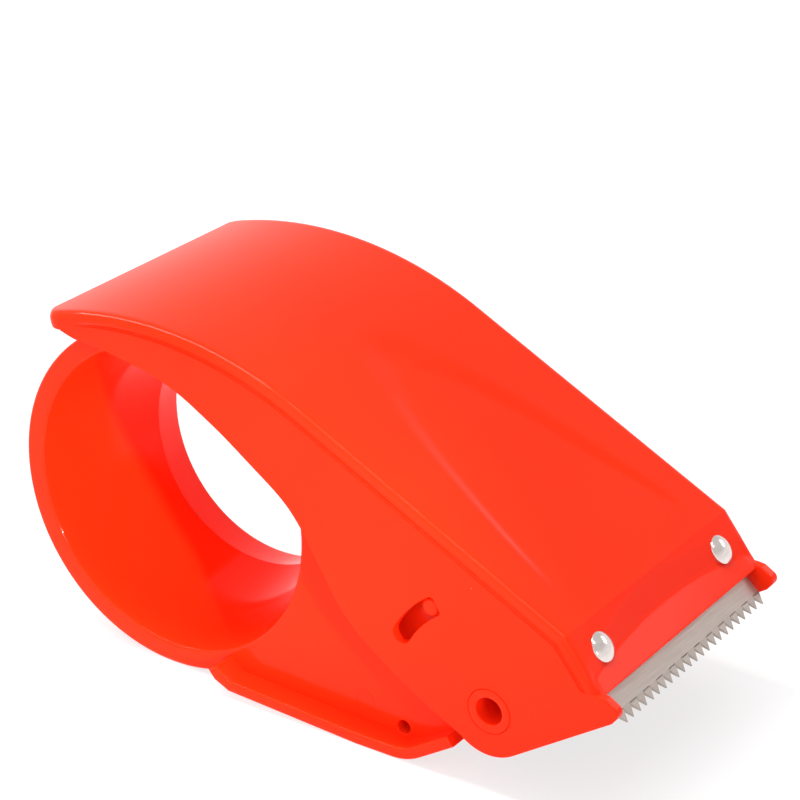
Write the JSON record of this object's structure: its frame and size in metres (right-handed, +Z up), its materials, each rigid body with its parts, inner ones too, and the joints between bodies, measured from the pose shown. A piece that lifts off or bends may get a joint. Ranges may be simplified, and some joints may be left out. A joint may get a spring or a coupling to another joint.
{
  "type": "packing tape dispenser",
  "caption": "Hand-held packing tape dispenser: a ring frame for fingers and tape core, a swinging handle cover, a serrated steel blade and a wipe-down roller.",
  "frame": {"origin": "on the finger ring's axis, at the middle of the handle cover's width", "axes": "+Y along the ring's axis to the open side where a roll of tape goes on, +X towards the blade, +Z up as it stands on a table"},
  "size_m": [0.1533, 0.0697, 0.0822],
  "materials": {
    "orange_plastic": "moulded orange-red ABS, glossy",
    "blade_steel": "rolled strip steel, stamped teeth",
    "rivet_chrome": "bright plated dome",
    "fastener_steel": "zinc plated",
    "roller_plastic": "dark grey, ribbed"
  },
  "bodies": {
    "frame": {"ring_frame": "orange_plastic", "ring_end_cap": "orange_plastic", "pivot_tube": "orange_plastic", "pivot_washer": "fastener_steel", "pivot_screw": "fastener_steel"},
    "cover": {"handle_cover": "orange_plastic", "blade": "blade_steel", "rivet_near": "rivet_chrome", "rivet_far": "rivet_chrome", "rivet_washer_near": "fastener_steel", "rivet_washer_far": "fastener_steel"},
    "roller": {"roller_tube": "roller_plastic", "roller_hub_near": "orange_plastic", "roller_hub_far": "orange_plastic"}
  },
  "joints": [
    {"name": "cover_pivot", "type": "hinge", "parent": "frame", "child": "cover", "pos_m": [0.0847, 0, -0.0208], "axis": [0, 1, 0], "range_deg": [0, 24]},
    {"name": "roller_spin", "type": "hinge", "parent": "frame", "child": "roller", "pos_m": [0.0847, 0, -0.0208], "axis": [0, 1, 0], "continuous": true}
  ]
}
